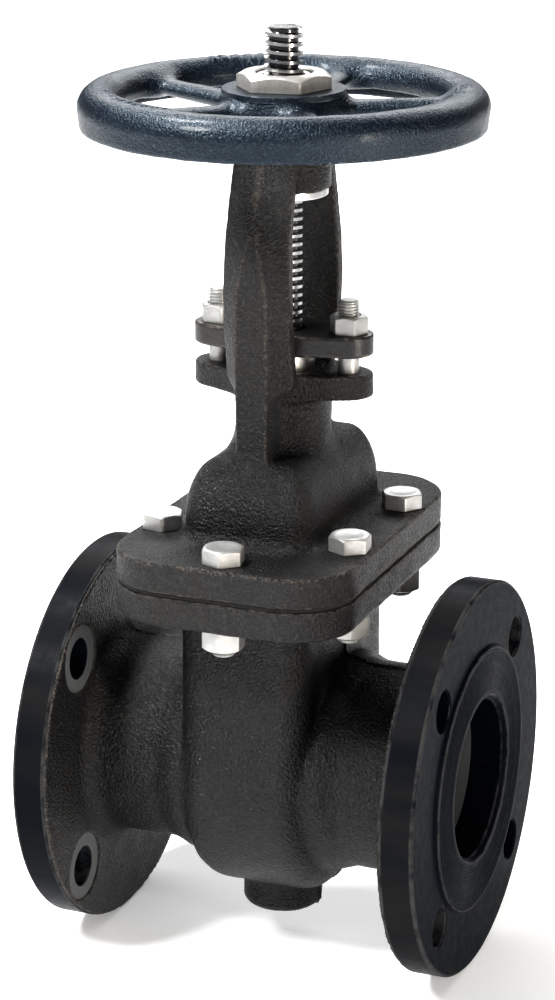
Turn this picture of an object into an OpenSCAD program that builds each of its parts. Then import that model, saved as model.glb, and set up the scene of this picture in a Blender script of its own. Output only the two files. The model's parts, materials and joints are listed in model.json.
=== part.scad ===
// Outside-screw-and-yoke gate valve with flanged ends and a rising stem, shown closed.
// The pipe runs along X, the stem along Z, and the origin lies under the stem at the
// lowest point of the end flanges. Heights inside the modules are measured from the
// pipe's axis, which lies pipe_z above the origin.

/* [Pipe ends] */
// Bore of the pipe ports
port_d = 76.2; // [64:0.1:92]
// Length from one raised face to the other
face_to_face = 203.2; // [190:0.1:260]
// Outer diameter of the end flanges
flange_d = 190.5; // [186:0.5:240]
// Thickness of the end flanges with their raised faces
flange_t = 19.05; // [15:0.05:24]
// Diameter of the raised faces
raised_face_d = 127; // [110:0.5:130]
// Height of the raised faces
raised_face_h = 1.6; // [1:0.1:3]
// Diameter of the circle that the flange holes lie on
bolt_circle_d = 152.4; // [148:0.1:156]
// Number of holes in each end flange
flange_holes = 4; // [4:4:8]
// Diameter of the holes in the end flanges
flange_hole_d = 19.05; // [14:0.05:23]
// Diameter of the spot faces behind the flange holes
spot_face_d = 33; // [28:0.5:36]
// Depth of the spot faces
spot_face_h = 1; // [0.5:0.1:2]
// Size of the bevel at the mouth of each port
port_bevel = 2.4; // [1:0.1:4]

/* [Body] */
// Wall of the body's chamber and of the bonnet's dome
wall_t = 8; // [6:0.1:10]
// Wall of the round necks between the chamber and the flanges
neck_wall = 12; // [10:0.1:15]
// Height of the bonnet joint above the pipe's axis
joint_rise = 103.5; // [98:0.1:125]
// Thickness of the body's upper flange
body_flange_t = 15; // [12:0.1:18]
// Width that the joint flanges stand out past the chamber along the pipe
joint_lip_x = 26.3; // [25:0.1:34]
// Width that the joint flanges stand out past the chamber across the pipe
joint_lip_y = 28.5; // [27:0.5:36]
// Corner radius of the joint flanges
joint_corner_r = 31; // [25:0.5:36]
// Thickness of the gasket between body and bonnet
gasket_t = 1.5; // [1:0.1:3]
// Diameter of the boss under the body
boss_d = 38.6; // [32:0.1:46]
// Height of the boss below the body's floor
boss_h = 13; // [9:0.5:16]

/* [Seats and wedge] */
// Slope of each seat face
wedge_angle = 5; // [4:0.1:6]
// Width of the seating rings
seat_w = 6.4; // [5:0.1:7.5]
// Depth of each seat ring behind its face
seat_len = 16; // [13.5:0.1:19]
// Half thickness of the wedge on the pipe's axis
wedge_half_t = 17; // [14.5:0.1:19]
// Thickness of the facing rings on the wedge
facing_t = 3.5; // [2.5:0.1:4.2]
// Height that the facing rings stand out of the wedge
facing_proud = 1; // [0.5:0.1:1.2]
// Width of the guide ribs in the body
guide_w = 8; // [6.5:0.1:9.6]
// Depth that the guide ribs reach into the wedge
guide_depth = 6; // [5:0.1:7]

/* [Bonnet] */
// Thickness of the bonnet's flange
bonnet_flange_t = 14.5; // [12:0.1:17.5]
// Thickness of the roof over the bonnet's chamber
roof_t = 7; // [6:0.1:9]
// Radius of the dome's shoulder along the pipe
shoulder_r = 24; // [20:0.5:29]
// Height of the dome's shoulder
shoulder_h = 29; // [24:0.5:34]
// Wall of the packing chamber
neck_ring_wall = 7.7; // [6.5:0.1:9.2]
// Thickness of the ears that hold the gland studs
ear_t = 11.4; // [9.5:0.1:14]
// Radius of the ears' round ends
ear_end_r = 11.6; // [10:0.1:14]
// Clear height between the gland plate's top and the yoke sleeve's flange
window_h = 63; // [56:0.5:75]
// Half width of the yoke's legs
leg_half_w = 16.3; // [14:0.1:19]
// Thickness of the yoke's legs
leg_t = 5.8; // [5:0.1:7]
// Half width of the rib down the middle of each leg
leg_rib_half_w = 7.6; // [6.4:0.1:9]
// Height of the yoke's hub
yoke_hub_h = 22; // [18.5:0.1:26]

/* [Stem and packing] */
// Outer diameter of the stem and its thread
stem_d = 18; // [16:0.1:20]
// Pitch of the stem's thread, which is also its lead
thread_pitch = 4; // [4:1:5]
// Depth of the stem's thread
thread_depth = 2.2; // [1.8:0.05:2.4]
// Width of one packing ring across its square section
packing_w = 6; // [5:0.1:7]
// Number of packing rings
packing_rings = 5; // [4:1:5]
// Length of the stem that stands above the wheel nut when the valve is closed
stem_show = 20.5; // [17:0.5:26]

/* [Gland] */
// Gap between the ears and the gland plate
gland_gap = 8.7; // [7:0.1:10.5]
// Thickness of the gland plate
gland_plate_t = 10; // [8.5:0.1:12]
// Distance from the stem to each gland stud
gland_stud_x = 32.5; // [32:0.1:38]
// Diameter of the gland studs
gland_stud_d = 10; // [8.5:0.1:12]
// Width of the gland nuts across their flats
gland_nut_af = 16; // [15:0.1:19]
// Height of the gland nuts
gland_nut_h = 8.4; // [7:0.1:10]
// Length of each gland stud above its nut
gland_stud_show = 7.2; // [6:0.1:9]

/* [Bonnet bolts] */
// Diameter of the bonnet bolts
bolt_d = 12; // [10:0.1:14]
// Width of the bolt heads and nuts across their flats
bolt_af = 18; // [17:0.1:20]
// Height of the bolt heads
bolt_head_h = 7.5; // [6:0.1:9]
// Height of the bolts' nuts
bolt_nut_h = 10.4; // [9:0.1:12]
// Length of bolt below each nut
bolt_show = 3; // [2:0.1:6]

/* [Yoke sleeve and handwheel] */
// Outer diameter of the handwheel
wheel_d = 189; // [160:0.5:230]
// Width of the handwheel's rim
rim_w = 20; // [17:0.1:24]
// Height of the handwheel's rim
rim_h = 19.6; // [16.5:0.1:23.5]
// Wall of the hollow rim
rim_wall = 4.6; // [4:0.1:5.4]
// Number of spokes
spokes = 5; // [3:1:6]
// Angle of the first spoke from the outlet side
spoke_turn = 18; // [0:1:71]
// Diameter of the handwheel's hub
wheel_hub_d = 57; // [50:0.5:66]
// Height of the handwheel's hub
wheel_hub_h = 23; // [19.5:0.1:27]
// Wall of the yoke sleeve round the stem
sleeve_wall = 6; // [5:0.1:7]
// Width of the yoke sleeve's flange past its barrel
sleeve_lip = 4.6; // [3.8:0.1:5.5]
// Thickness of the yoke sleeve's flange
sleeve_flange_t = 3.6; // [3:0.1:4.5]
// Width of the wheel nut across its flats
wheel_nut_af = 39; // [37:0.1:46]
// Height of the wheel nut
wheel_nut_h = 7.4; // [6:0.1:9]
// Width of the key between sleeve and handwheel
key_w = 5; // [4:0.1:6]

/* [Fits] */
// Running clearance on the radius between pieces that move on each other
run_gap = 0.05; // [0.03:0.01:0.08]
// Clearance between faces of different moving pieces that don't guide each other
free_gap = 0.3; // [0.3:0.05:0.5]
// Clearance on the radius of the bolts in their holes
bolt_gap = 0.75; // [0.4:0.05:1]

/* [Hidden] */

$fn = 96;
over = 1; // how far a cutting shape reaches past the surface that it cuts

// Ports, wedge and seats
port_r = port_d / 2;
seat_r = port_r + seat_w;
seat_bore_r = port_r + 0.4; // a little wider than the port, so the seat's edge stays out of the flow
wedge_r = seat_r + 0.5;
wedge_clear = 6; // space between the wedge's edge and the chamber's wall
face_clear = 3.1; // space between the wedge's thickest place and the chamber's wall

// Body chamber
chamber_half_x = wedge_half_t + wedge_r * tan(wedge_angle) + face_clear;
chamber_half_y = wedge_r + wedge_clear;
chamber_corner = 6;
shell_half_x = chamber_half_x + wall_t;
shell_half_y = chamber_half_y + wall_t;
shell_corner = chamber_corner + wall_t;
bowl_drop = 7; // how far the bowl's centre lies below the pipe's axis
bowl_bottom = bowl_drop + shell_half_y;
boss_bottom = bowl_bottom + boss_h;
pipe_z = max(flange_d / 2, boss_bottom);
neck_r = port_r + neck_wall;
seat_neck_r = max(neck_r, seat_r + wall_t + 1);
flange_r = flange_d / 2;
flange_back = face_to_face / 2 - flange_t;
hole_step = 0.35; // the inlet flange is drilled a little wider than the outlet flange
neck_fillet = 8;
joint_half_x = shell_half_x + joint_lip_x;
joint_half_y = shell_half_y + joint_lip_y;

// Travel: the wedge's lower edge clears the port, in whole turns of the stem's thread
travel = thread_pitch * ceil((port_r + wedge_r) / thread_pitch);

// Wedge top and the stem's lower end
lug_half_x = 14;
lug_half_y = 18;
lug_top = wedge_r + 12;
head_h = 8;
head_half_x = 11;
head_half_y = 13;
head_z = lug_top - 5 - head_h;
slot_gap = 1;
collar_t = 5;
collar_z = lug_top + 1.5;
collar_r = stem_d / 2 + 4;
backseat_z = collar_z + collar_t + travel + free_gap;
bushing_flange_t = 3;
bushing_r = stem_d / 2 + 4.5;

// Bonnet heights, from the joint upwards
bonnet_z = joint_rise + gasket_t;
bonnet_top_z = bonnet_z + bonnet_flange_t;
roof_z = backseat_z + bushing_flange_t;
dome_z = roof_z + roof_t;
box_z = dome_z + 2;
box_r = stem_d / 2 + packing_w;
packing_top = box_z + packing_rings * packing_w;
ear_top = packing_top + 4.2;
ear_z = ear_top - ear_t;
neck_ring_r = box_r + neck_ring_wall;
ear_hub_r = neck_ring_r + 2.3;
dome_half_x = shell_half_x + 0.5;
dome_half_y = shell_half_y - 6.5;
cavity_half_x = dome_half_x - wall_t;
cavity_half_y = dome_half_y - wall_t + 0.5;
cavity_low_top = bonnet_top_z + 20;

// Gland
gland_plate_z = ear_top + gland_gap;
gland_top = gland_plate_z + gland_plate_t;
gland_r = box_r - run_gap;
gland_bottom = packing_top + free_gap;
gland_lip_r = gland_r + 2.5;
gland_lip_h = 3;
gland_hub_r = box_r + 5;
gland_end_r = ear_end_r;
gland_stud_z = ear_z + 0.5;
gland_stud_top = gland_top + gland_nut_h + gland_stud_show;
gland_nut_turns = [37, 28]; // how each gland nut is turned, outlet side first

// Yoke
sleeve_z = gland_top + window_h;
yoke_hub_z = sleeve_z + sleeve_flange_t + run_gap;
yoke_top = yoke_hub_z + yoke_hub_h;
sleeve_bore_r = stem_d / 2 + run_gap;
sleeve_top_r = sleeve_bore_r + sleeve_wall - 2;
sleeve_seat_r = sleeve_bore_r + sleeve_wall;
sleeve_barrel_r = sleeve_seat_r + 1;
yoke_hub_r = sleeve_barrel_r + 6;
leg_mid_z = gland_top + 22;
leg_mid_y = gland_stud_x + 2;
leg_top_in = 5.5; // how far the leg's outer corners draw in at the top
leg_foot_in = 9; // how far they draw in at the ears
rib_y = leg_mid_y + 6.5;
rib_top_in = 6.5;
leg_taper = 1.8; // how much of its half width a leg loses towards the hub

// Handwheel
wheel_z = yoke_top + free_gap;
wheel_top = wheel_z + wheel_hub_h;
wheel_r = wheel_d / 2;
rim_z = wheel_top - 8.2; // height of the rim's middle
rim_mid_r = wheel_r - rim_w / 2;
spoke_drop = 3; // how far a spoke's inner end lies below its outer end
key_h = key_w;
key_sink = 3; // depth of the key's seat in the sleeve
wheel_nut_turn = 40;
sleeve_top = wheel_top + wheel_nut_h - 1;

// Stem
thread_z = gland_top - 1;
stem_top = wheel_top + wheel_nut_h + stem_show;

// Places of the bonnet bolts in plan
bolt_x = joint_half_x - 11.3;
bolt_y = joint_half_y - 13.5;
bolt_side_y = bolt_y * 0.48;
bolt_places = [[-bolt_x, -bolt_side_y], [0, -bolt_y], [bolt_x, -bolt_side_y],
    [bolt_x, bolt_side_y], [0, bolt_y], [-bolt_x, bolt_side_y]];
bolt_turns = [20, 12, 5, 28, 40, 50]; // how each head is turned
bolt_nut_turns = [33, 6, 25, 18, 50, 10];

iron = [0.16, 0.16, 0.17];
wheel_blue = [0.27, 0.33, 0.38];
zinc = [0.78, 0.78, 0.76];
steel = [0.7, 0.7, 0.7];
bronze = [0.72, 0.55, 0.3];
graphite = [0.25, 0.25, 0.26];

// ---------- shared shapes ----------

// Corner points of a rectangle with round corners, counterclockwise
function round_rect(half_x, half_y, r, steps = 8) = [
    for (q = [0:3], i = [0:steps])
        let (a = 90 * (q + i / steps),
            sx = (q == 0 || q == 3) ? 1 : -1,
            sy = (q < 2) ? 1 : -1)
        [sx * (half_x - r) + r * cos(a), sy * (half_y - r) + r * sin(a)]];

// The same outline at height z
function ring_at(outline, z) = [for (p = outline) [p[0], p[1], z]];

// Solid through a list of rings that have the same number of points
module loft(rings) {
    n = len(rings[0]);
    m = len(rings);
    polyhedron(
        points = [for (ring = rings) each ring],
        faces = concat(
            [[for (i = [0:n - 1]) i]],
            [for (j = [0:m - 2], i = [0:n - 1])
                let (a = j * n + i, b = j * n + (i + 1) % n)
                each [[a, a + n, b + n], [a, b + n, b]]],
            [[for (i = [n - 1:-1:0]) (m - 1) * n + i]]));
}

module slab(half_x, half_y, r, z, h) {
    translate([0, 0, z])
        linear_extrude(h)
            polygon(round_rect(half_x, half_y, r));
}

module rod(r, z, h) {
    translate([0, 0, z])
        cylinder(r = r, h = h);
}

// Cylinder along the pipe from x to x + len
module pipe_rod(r, x, len) {
    translate([x, 0, 0])
        rotate([0, 90, 0])
            cylinder(r = r, h = len);
}

// Shape of revolution about the pipe's axis; points are [radius, x]
module pipe_turned(points) {
    rotate([0, 90, 0])
        rotate_extrude()
            polygon(points);
}

// Hexagon with its top corners, and its bottom corners too if wanted, turned to a cone
module hex_block(af, h, both = false) {
    corner_r = af / 2 / cos(30);
    flat_r = af * 0.475;
    drop = (corner_r - flat_r) * tan(30);
    low = both ? drop : 0;
    low_r = both ? flat_r : corner_r;
    intersection() {
        cylinder(r = corner_r, h = h, $fn = 6);
        rotate_extrude()
            polygon([[0, 0], [low_r, 0], [corner_r, low], [corner_r, h - drop],
                [flat_r, h], [0, h]]);
    }
}

// Places its children at each bonnet bolt
module at_bolts() {
    for (p = bolt_places)
        translate([p[0], p[1], 0]) children();
}

// Places its children at both gland studs
module at_gland_studs() {
    for (side = [1, -1])
        translate([side * gland_stud_x, 0, 0]) children();
}

// Raises a piece from the pipe's axis to the part's own origin
module on_base() {
    translate([0, 0, pipe_z]) children();
}

// Puts its children on the sloped face of the wedge, with z out of that face
module on_slope(side, offset = 0) {
    mirror([side < 0 ? 1 : 0, 0, 0])
        translate([wedge_half_t, 0, 0])
            rotate([0, 90 + wedge_angle, 0])
                translate([0, 0, offset]) children();
}

// ---------- body ----------

// End flange and neck on the outlet side, as a shape of revolution
module pipe_end() {
    bevel = raised_face_h;
    face_x = face_to_face / 2;
    fillet = [for (i = [0:6]) let (a = 15 * i)
        [neck_r + neck_fillet * (1 - cos(a)), flange_back - neck_fillet * (1 - sin(a))]];
    seat_end = shell_half_x + 14;
    pipe_turned(concat(
        [[0, 0], [seat_neck_r, 0], [seat_neck_r, shell_half_x + 4], [neck_r, seat_end]],
        fillet,
        [[flange_r - 1, flange_back], [flange_r, flange_back + 1],
            [flange_r, face_x - bevel - 1], [flange_r - 1, face_x - bevel],
            [raised_face_d / 2 + bevel, face_x - bevel], [raised_face_d / 2, face_x], [0, face_x]]));
}

// Drilled holes, spot faces and port bevel of the outlet flange
module flange_drilling(hole_d) {
    translate([face_to_face / 2 - port_bevel, 0, 0])
        rotate([0, 90, 0])
            cylinder(r1 = port_r, r2 = port_r + port_bevel + over, h = port_bevel + over);
    for (i = [0:flange_holes - 1])
        rotate([360 * (i + 0.5) / flange_holes, 0, 0])
            translate([0, 0, bolt_circle_d / 2]) {
                pipe_rod(hole_d / 2, flange_back - over, flange_t + 2 * over);
                pipe_rod(spot_face_d / 2, flange_back - neck_fillet,
                    neck_fillet + spot_face_h);
            }
}

// Chamber that the wedge moves in: straight above, round below
module chamber(half_x, half_y, corner, top) {
    slab(half_x, half_y, corner, -bowl_drop, top + bowl_drop);
    edge = [for (i = [0:8]) let (a = 90 * i / 8)
        [half_y - corner + corner * cos(a), half_x - corner + corner * sin(a)]];
    mirrored = [for (i = [8:-1:0]) [edge[i][0], -edge[i][1]]];
    translate([0, 0, -bowl_drop])
        pipe_turned(concat([[0, -half_x]], mirrored, edge, [[0, half_x]]));
}

module body() {
    color(iron)
    on_base() {
        difference() {
            union() {
                chamber(shell_half_x, shell_half_y, shell_corner, joint_rise - 2);
                for (side = [0, 1]) mirror([side, 0, 0]) pipe_end();
                slab(joint_half_x, joint_half_y, joint_corner_r,
                    joint_rise - body_flange_t, body_flange_t);
                body_boss();
            }
            difference() {
                chamber(chamber_half_x, chamber_half_y, chamber_corner, joint_rise + over);
                guide_ribs();
            }
            for (side = [0, 1]) mirror([side, 0, 0]) flange_drilling(flange_hole_d + side * hole_step);
            pipe_rod(port_r, -face_to_face / 2 - over, face_to_face + 2 * over);
            for (side = [1, -1]) on_slope(side) cylinder(r = seat_r, h = seat_len);
            at_bolts() rod(bolt_d / 2 + bolt_gap, joint_rise - body_flange_t - over,
                body_flange_t + 2 * over);
        }
    }
}

// Ribs on the chamber's side walls that keep the wedge straight
module guide_ribs() {
    rib_in = wedge_r - guide_depth + free_gap;
    for (side = [1, -1])
        translate([-guide_w / 2, side > 0 ? rib_in : -chamber_half_y - over,
            -chamber_half_y / 2])
            cube([guide_w, chamber_half_y - rib_in + over,
                chamber_half_y / 2 + joint_rise - 2]);
}

module body_boss() {
    edge_r = 4;
    corner = [for (i = [0:6]) let (a = 90 * i / 6)
        [boss_d / 2 - edge_r + edge_r * sin(a), edge_r - edge_r * cos(a)]];
    translate([0, 0, -boss_bottom])
        rotate_extrude()
            polygon(concat([[0, 0]], corner, [[boss_d / 2, boss_h + wall_t], [0, boss_h + wall_t]]));
}

module seat_ring(side) {
    color(bronze)
    on_base()
        difference() {
            on_slope(side, run_gap) cylinder(r = seat_r, h = seat_len - run_gap);
            pipe_rod(seat_bore_r, -face_to_face / 2, face_to_face);
        }
}

module inlet_seat_ring() {
    seat_ring(-1);
}

module outlet_seat_ring() {
    seat_ring(1);
}

module body_gasket() {
    inset = 0.8;
    color(graphite)
    on_base()
        difference() {
            slab(joint_half_x - inset, joint_half_y - inset, joint_corner_r - inset,
                joint_rise, gasket_t);
            slab(chamber_half_x + 1, chamber_half_y + 1, chamber_corner + 1,
                joint_rise - over, gasket_t + 2 * over);
            at_bolts() rod(bolt_d / 2 + bolt_gap, joint_rise - over, gasket_t + 2 * over);
        }
}

// ---------- bonnet with its yoke ----------

// How far the dome's walls draw in at height z, from 0 to 1
function shoulder(z) =
    let (s = max(0, (z - dome_z + shoulder_h) / shoulder_h))
    1 - sqrt(max(0, 1 - s * s));

module dome() {
    levels = 9;
    foot_z = bonnet_top_z - 2;
    start_z = dome_z - shoulder_h;
    heights = concat([foot_z], [for (i = [0:levels])
        start_z + shoulder_h * sin(90 * i / levels)]);
    loft([for (z = heights)
        let (in = shoulder_r * shoulder(z) * 0.72)
        ring_at(round_rect(dome_half_x - in, dome_half_y - in, shell_corner), z)]);
}

// Outer corner and inner face of a leg, and face of its rib, at height z
function leg_y(z) = leg_mid_y - (z > leg_mid_z
    ? leg_top_in * pow((z - leg_mid_z) / (yoke_hub_z - leg_mid_z), 2)
    : leg_foot_in * pow((leg_mid_z - z) / (leg_mid_z - ear_z), 2));
function rib_face(z) = rib_y - (z > leg_mid_z
    ? rib_top_in * pow((z - leg_mid_z) / (yoke_hub_z - leg_mid_z), 2) : 0);
// Half width of the leg, which narrows towards the hub
function leg_w(z) = leg_half_w - leg_taper * max(0, z - leg_mid_z) / (yoke_top - leg_mid_z);
// Half width of the rib's flat face, which narrows to a ridge towards the hub
function rib_half_w(z) = max(1, leg_rib_half_w - max(0, z - leg_mid_z) * 0.2);

// One leg of the yoke, on the far side of the stem: a plate with a raised middle
module yoke_leg() {
    steps = 14;
    foot = ear_z + 1;
    loft([for (i = [0:steps])
        let (z = foot + (yoke_top - foot) * i / steps,
            outer = leg_y(z),
            inner = outer - leg_t,
            face = rib_face(z))
        [[leg_w(z), inner, z], [leg_w(z), outer, z], [rib_half_w(z), face, z],
            [-rib_half_w(z), face, z], [-leg_w(z), outer, z], [-leg_w(z), inner, z]]]);
    rib_foot = dome_z - shoulder_h * 0.45;
    translate([-leg_rib_half_w, neck_ring_r - 4, rib_foot])
        cube([leg_rib_half_w * 2, rib_y - neck_ring_r + 4, ear_top - rib_foot]);
}

// Plate with round ends over the gland studs and a round middle
module eared_plate(hub_r, end_r, z, h) {
    translate([0, 0, z])
        linear_extrude(h)
            hull() {
                circle(r = hub_r, $fn = 48);
                for (side = [1, -1])
                    translate([side * gland_stud_x, 0]) circle(r = end_r, $fn = 32);
            }
}

module bonnet() {
    color(iron)
    on_base()
        difference() {
            union() {
                slab(joint_half_x, joint_half_y, joint_corner_r, bonnet_z, bonnet_flange_t);
                dome();
                rod(neck_ring_r, dome_z - 4, ear_top - dome_z + 4);
                eared_plate(ear_hub_r, ear_end_r, ear_z, ear_t);
                for (side = [0, 1]) mirror([0, side, 0]) yoke_leg();
                rod(yoke_hub_r, yoke_hub_z, yoke_hub_h);
            }
            slab(cavity_half_x, cavity_half_y, chamber_corner, bonnet_z - over,
                cavity_low_top - bonnet_z + over);
            slab(cavity_half_x - 4, cavity_half_y - 7, chamber_corner, cavity_low_top - over,
                roof_z - cavity_low_top + over);
            rod(bushing_r, roof_z - over, box_z - roof_z + 2 * over);
            rod(box_r, box_z, ear_top - box_z + over);
            rod(gland_hub_r + 1, ear_top, gland_top - ear_top + gland_stud_show);
            at_gland_studs() rod(gland_stud_d / 2, gland_stud_z, ear_top - gland_stud_z + over);
            rod(sleeve_barrel_r + run_gap, yoke_hub_z - over, yoke_hub_h + 2 * over);
            at_bolts() rod(bolt_d / 2 + bolt_gap, bonnet_z - over, bonnet_flange_t + 2 * over);
        }
}

module bonnet_bolts() {
    tail = body_flange_t + gasket_t + bonnet_flange_t + bolt_nut_h + bolt_show;
    color(zinc)
    on_base()
        for (i = [0:len(bolt_places) - 1])
            translate([bolt_places[i][0], bolt_places[i][1], bonnet_top_z]) {
                rotate([0, 0, bolt_turns[i]]) hex_block(bolt_af, bolt_head_h);
                rod(bolt_d / 2, -tail, tail + 1);
            }
}

module bonnet_nuts() {
    color(zinc)
    on_base()
        for (i = [0:len(bolt_places) - 1])
            translate([bolt_places[i][0], bolt_places[i][1], joint_rise - body_flange_t])
                mirror([0, 0, 1])
                    rotate([0, 0, bolt_nut_turns[i]])
                        difference() {
                            hex_block(bolt_af, bolt_nut_h);
                            rod(bolt_d / 2, -over, bolt_nut_h + 2 * over);
                        }
}

module backseat_bushing() {
    seat_cone = 2;
    color(bronze)
    on_base()
        difference() {
            union() {
                rod(bushing_r, backseat_z + 1, box_z - backseat_z - 1);
                rod(bushing_r + 3, backseat_z, bushing_flange_t);
            }
            rod(stem_d / 2 + run_gap, backseat_z - over, box_z - backseat_z + 2 * over);
            translate([0, 0, backseat_z - 0.01])
                cylinder(r1 = stem_d / 2 + run_gap + seat_cone, r2 = stem_d / 2 + run_gap,
                    h = seat_cone);
        }
}

// ---------- packing and gland ----------

module packing_ring(i) {
    color(graphite)
    on_base()
        difference() {
            rod(box_r, box_z + (i - 1) * packing_w, packing_w);
            rod(stem_d / 2 + run_gap, box_z + (i - 1) * packing_w - over,
                packing_w + 2 * over);
        }
}

module packing_ring_1() {
    packing_ring(1);
}

module packing_ring_2() {
    packing_ring(2);
}

module packing_ring_3() {
    packing_ring(3);
}

module packing_ring_4() {
    packing_ring(4);
}

module packing_ring_5() {
    packing_ring(5);
}

module gland_studs() {
    color(zinc)
    on_base()
        at_gland_studs() rod(gland_stud_d / 2, gland_stud_z, gland_stud_top - gland_stud_z);
}

module gland_bushing() {
    color(steel)
    on_base()
        difference() {
            union() {
                rod(gland_r, gland_bottom, gland_plate_z + gland_lip_h - gland_bottom);
                rod(gland_lip_r, gland_plate_z, gland_lip_h);
            }
            rod(stem_d / 2 + run_gap, gland_bottom - over,
                gland_plate_z + gland_lip_h - gland_bottom + 2 * over);
        }
}

module gland_flange() {
    color([0.13, 0.13, 0.14])
    on_base()
        difference() {
            eared_plate(gland_hub_r, gland_end_r, gland_plate_z, gland_plate_t);
            rod(stem_d / 2 + 1.5, gland_plate_z - over, gland_plate_t + 2 * over);
            rod(gland_lip_r, gland_plate_z - over, gland_lip_h + over);
            at_gland_studs() rod(gland_stud_d / 2 + bolt_gap, gland_plate_z - over,
                gland_plate_t + 2 * over);
        }
}

module gland_nuts() {
    color(zinc)
    on_base()
        for (i = [0, 1])
            translate([(i == 0 ? 1 : -1) * gland_stud_x, 0, gland_top])
                rotate([0, 0, gland_nut_turns[i]])
                    difference() {
                        hex_block(gland_nut_af, gland_nut_h);
                        rod(gland_stud_d / 2 + run_gap, -over, gland_nut_h + 2 * over);
                    }
}

// ---------- yoke sleeve and handwheel ----------

module yoke_sleeve() {
    color(bronze)
    on_base()
        difference() {
            union() {
                rod(sleeve_barrel_r + sleeve_lip, sleeve_z, sleeve_flange_t);
                rod(sleeve_barrel_r, sleeve_z, wheel_z - sleeve_z);
                rod(sleeve_seat_r, sleeve_z, wheel_top - sleeve_z);
                rod(sleeve_top_r, sleeve_z, sleeve_top - sleeve_z);
            }
            rod(sleeve_bore_r, sleeve_z - over, sleeve_top - sleeve_z + 2 * over);
            key_block(0);
        }
}

// Space that the key fills
module key_block(extra) {
    translate([-key_w / 2, sleeve_seat_r - key_sink, wheel_z])
        cube([key_w, key_h, wheel_hub_h + extra]);
}

module handwheel_key() {
    color(steel)
    on_base() key_block(0);
}

// Rim section: an arch over a hollow, with its outer skirt deeper than its inner one
module rim() {
    half_w = rim_w / 2;
    half_h = rim_h / 2;
    inner_drop = half_h * 0.35;
    steps = 16;
    arch = [for (i = [0:steps]) let (a = 180 * i / steps)
        [rim_mid_r + half_w * cos(a), half_h * sin(a)]];
    hollow = [for (i = [steps:-1:0]) let (a = 180 * i / steps)
        [rim_mid_r + (half_w - rim_wall) * cos(a), (half_h - rim_wall) * sin(a)]];
    translate([0, 0, rim_z])
        rotate_extrude()
            polygon(concat(
                [[rim_mid_r + half_w - 1.2, -half_h]], arch,
                [[rim_mid_r - half_w + 0.8, -inner_drop],
                    [rim_mid_r - half_w + rim_wall, -inner_drop]],
                hollow,
                [[rim_mid_r + half_w - rim_wall, -half_h]]));
}

// One spoke, from inside the hub to inside the rim's inner wall
module spoke() {
    steps = 6;
    corners = 16;
    inner_end = wheel_hub_d / 2 - 5;
    outer_end = rim_mid_r - rim_w / 2 + 3;
    loft([for (i = [0:steps])
        let (t = i / steps,
            x = inner_end + (outer_end - inner_end) * t,
            half_y = 8 - 2.2 * sin(90 * t) + 1.5 * pow(2 * t - 1, 4),
            half_z = 4.6 - 1 * t,
            mid = rim_z + 1 - spoke_drop * (1 - t))
        [for (k = [0:corners - 1]) let (a = 360 * k / corners)
            [x, half_y * cos(a), mid + half_z * sin(a)]]]);
}

module handwheel() {
    disc_t = 3;
    color(wheel_blue)
    on_base()
        difference() {
            union() {
                rim();
                for (i = [0:spokes - 1])
                    rotate([0, 0, spoke_turn + 360 * i / spokes]) spoke();
                rod(wheel_hub_d / 2 - 1, wheel_z, wheel_hub_h - disc_t / 2);
                rod(wheel_hub_d / 2, wheel_top - disc_t, disc_t);
            }
            rod(sleeve_seat_r, wheel_z - over, wheel_hub_h + 2 * over);
            translate([0, 0, -over]) key_block(2 * over);
        }
}

module handwheel_nut() {
    color(steel)
    on_base()
        translate([0, 0, wheel_top])
            rotate([0, 0, wheel_nut_turn])
                difference() {
                    hex_block(wheel_nut_af, wheel_nut_h);
                    rod(sleeve_top_r, -over, wheel_nut_h + 2 * over);
                }
}

// ---------- stem and wedge ----------

// Rings stand in for the thread's turns, one pitch apart
module stem() {
    r = stem_d / 2;
    root_r = r - thread_depth;
    tip = 2;
    turns = floor((stem_top - tip - thread_z) / thread_pitch);
    crest = thread_pitch * 0.36;
    flank = thread_pitch * 0.14;
    thread = [for (i = [0:turns - 1]) let (z = stem_top - tip - (turns - i) * thread_pitch)
        each [[r, z], [root_r, z + flank], [root_r, z + flank + crest],
            [r, z + 2 * flank + crest]]];
    color(steel)
    on_base() {
        rotate_extrude()
            polygon(concat(
                [[0, head_z + head_h - 1], [r, head_z + head_h - 1],
                    [r, collar_z], [collar_r, collar_z], [collar_r, collar_z + collar_t - 2],
                    [r + 1.5, collar_z + collar_t], [r, collar_z + collar_t]],
                thread,
                [[r, stem_top - tip], [r - tip, stem_top], [0, stem_top]]));
        intersection() {
            translate([-head_half_x, -head_half_y, head_z])
                cube([2 * head_half_x, 2 * head_half_y, head_h]);
            rod(head_half_y + 1, head_z, head_h);
        }
    }
}

module wedge() {
    core_cut = 80;
    slot_half = stem_d / 2 + slot_gap;
    color([0.3, 0.3, 0.31])
    on_base()
        difference() {
            union() {
                intersection() {
                    pipe_rod(wedge_r, -chamber_half_x, 2 * chamber_half_x);
                    slope_core();
                }
                translate([-lug_half_x, -lug_half_y, 0])
                    cube([2 * lug_half_x, 2 * lug_half_y, lug_top]);
            }
            for (side = [1, -1]) on_slope(side, -facing_t) facing_shape(facing_t + over);
            for (side = [1, -1])
                translate([-guide_w / 2 - free_gap,
                    side > 0 ? wedge_r - guide_depth : -wedge_r - over, -wedge_r - over])
                    cube([guide_w + 2 * free_gap, guide_depth + over, 2 * wedge_r + 2 * over]);
            translate([-core_cut / 2, -head_half_y - slot_gap, head_z])
                cube([core_cut, 2 * (head_half_y + slot_gap), head_h]);
            translate([-core_cut / 2, -slot_half, head_z])
                cube([core_cut, 2 * slot_half, lug_top - head_z + over]);
        }
}

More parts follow.
